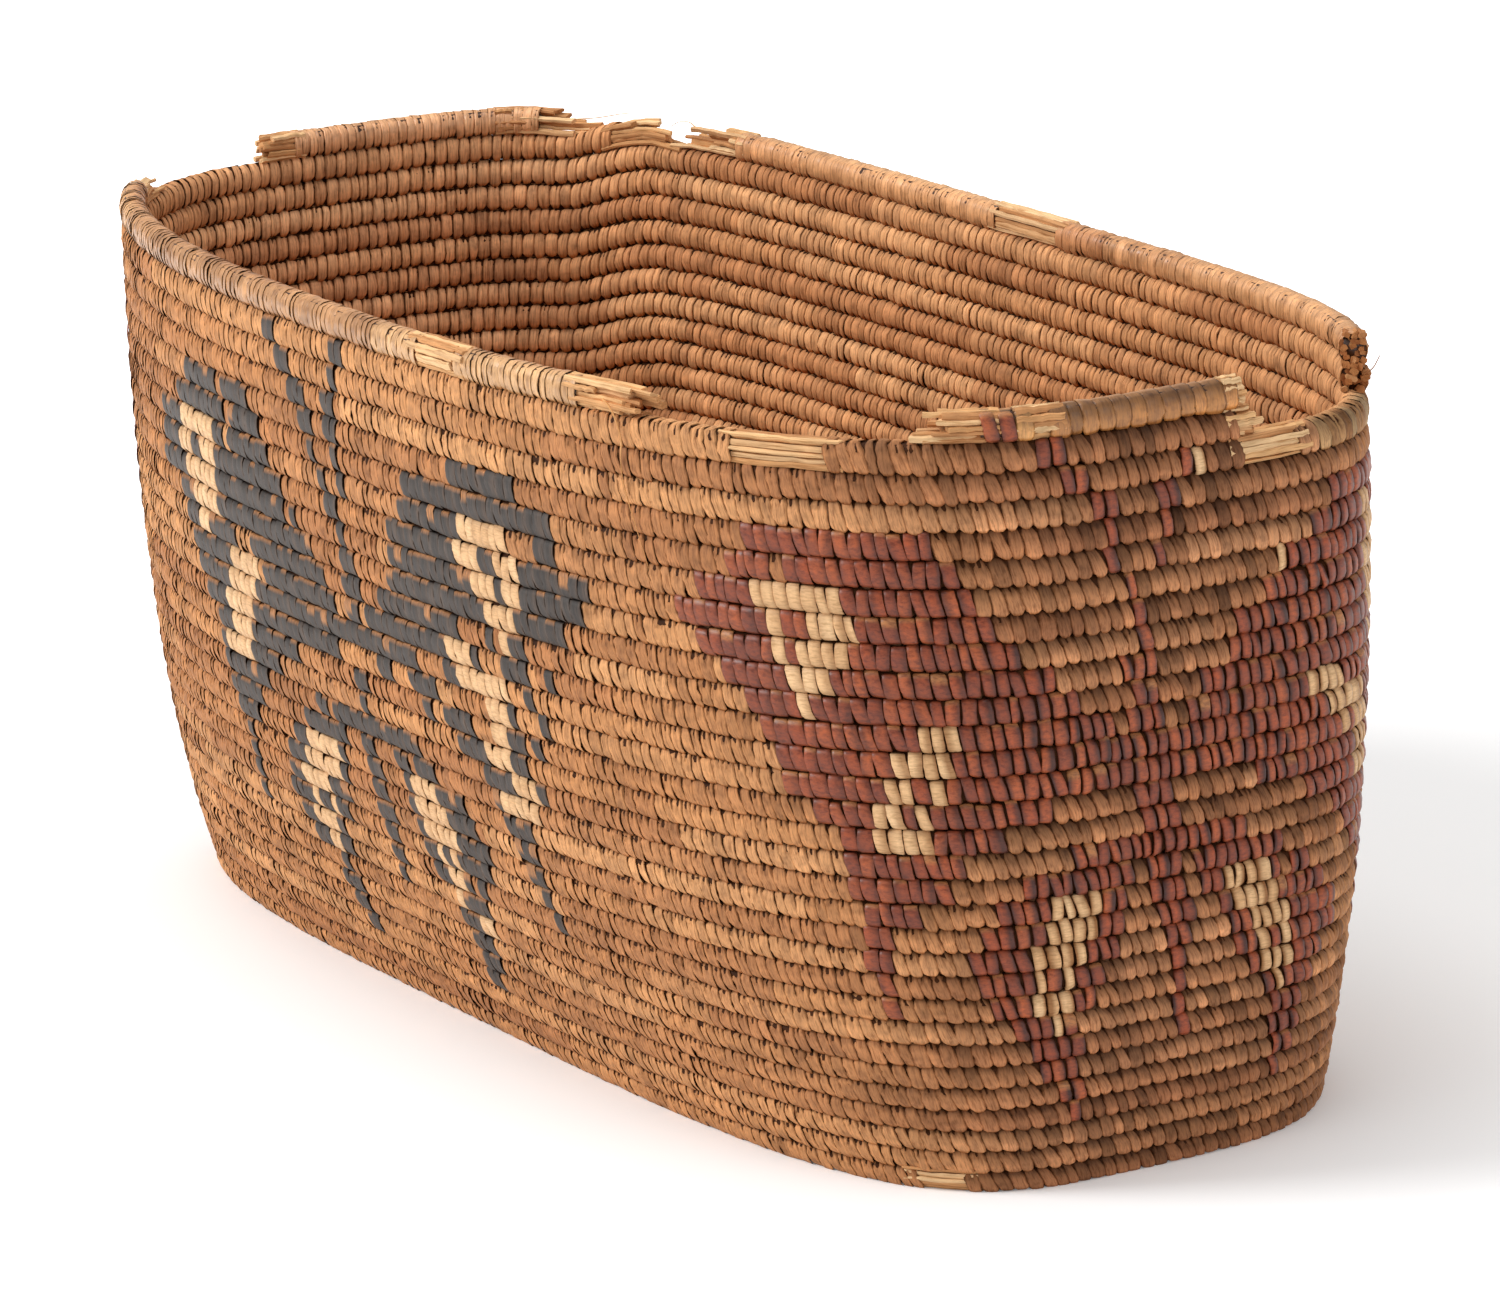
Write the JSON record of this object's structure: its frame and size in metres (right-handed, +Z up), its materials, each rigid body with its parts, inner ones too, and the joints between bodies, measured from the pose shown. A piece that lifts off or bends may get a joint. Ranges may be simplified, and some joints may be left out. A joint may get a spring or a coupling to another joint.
{
  "type": "imbricated coiled basket",
  "caption": "Long rectangular coiled basket with rounded corners, flaring walls, a worn broken rim and folded-strip figures in black, red-brown and cream.",
  "frame": {"origin": "centre of the basket's footprint on the surface it stands on", "axes": "+X along the long walls, towards the end wall with the red-brown figure; +Z up; -Y out of the long wall with the black figure"},
  "size_m": [0.567, 0.266, 0.2542],
  "materials": {
    "coil": "matte split root over a bundle of splints, worn",
    "slat": "matte bare wood",
    "black_bark": "satin folded bark strip",
    "red_bark": "satin cherry bark strip",
    "cream_straw": "satin straw strip"
  },
  "bodies": {
    "root": {"base_slat_01": "slat", "base_slat_02": "slat", "base_slat_03": "slat", "base_slat_04": "slat", "base_slat_05": "slat", "base_slat_06": "slat", "base_slat_07": "slat", "base_slat_08": "slat", "coil_course_30_back_wall": "coil", "coil_course_30_front": "coil", "coil_courses_01_to_03": "coil", "coil_courses_04_to_06": "coil", "coil_courses_07_to_09": "coil", "coil_courses_10_to_12": "coil", "coil_courses_13_to_15": "coil", "coil_courses_16_to_18": "coil", "coil_courses_19_to_21": "coil", "coil_courses_22_to_24": "coil", "coil_courses_25_to_27": "coil", "coil_courses_28_to_29": "coil", "rim_coil_back_wall": "coil", "rim_coil_end_wall": "coil", "rim_coil_far_end": "coil", "rim_coil_near_wall": "coil", "strip_black_course_14_1": "black_bark", "strip_black_course_15_1": "black_bark", "strip_black_course_17_1": "black_bark", "strip_black_course_18_1": "black_bark", "strip_black_course_19_1": "black_bark", "strip_black_course_20_1": "black_bark", "strip_black_course_21_1": "black_bark", "strip_black_course_22_1": "black_bark", "strip_black_course_23_1": "black_bark", "strip_black_course_23_2": "black_bark", "strip_black_course_24_1": "black_bark", "strip_black_course_25_1": "black_bark", "strip_black_course_26_1": "black_bark", "strip_black_course_26_2": "black_bark", "strip_black_course_27_1": "black_bark", "strip_black_course_27_2": "black_bark", "strip_cream_course_24_1": "cream_straw", "strip_cream_course_25_1": "cream_straw", "strip_red_course_17_1": "red_bark", "strip_red_course_17_2": "red_bark", "strip_red_course_18_1": "red_bark", "strip_red_course_18_2": "red_bark", "strip_red_course_19_1": "red_bark", "strip_red_course_20_1": "red_bark", "strip_red_course_21_1": "red_bark", "strip_red_course_21_2": "red_bark", "strip_red_course_22_1": "red_bark", "strip_red_course_22_2": "red_bark", "strip_red_course_23_1": "red_bark", "strip_red_course_23_2": "red_bark", "strip_red_course_24_1": "red_bark", "strip_red_course_24_2": "red_bark", "strip_red_course_25_1": "red_bark", "strip_red_course_26_1": "red_bark", "strip_red_course_27_1": "red_bark"}
  },
  "joints": []
}
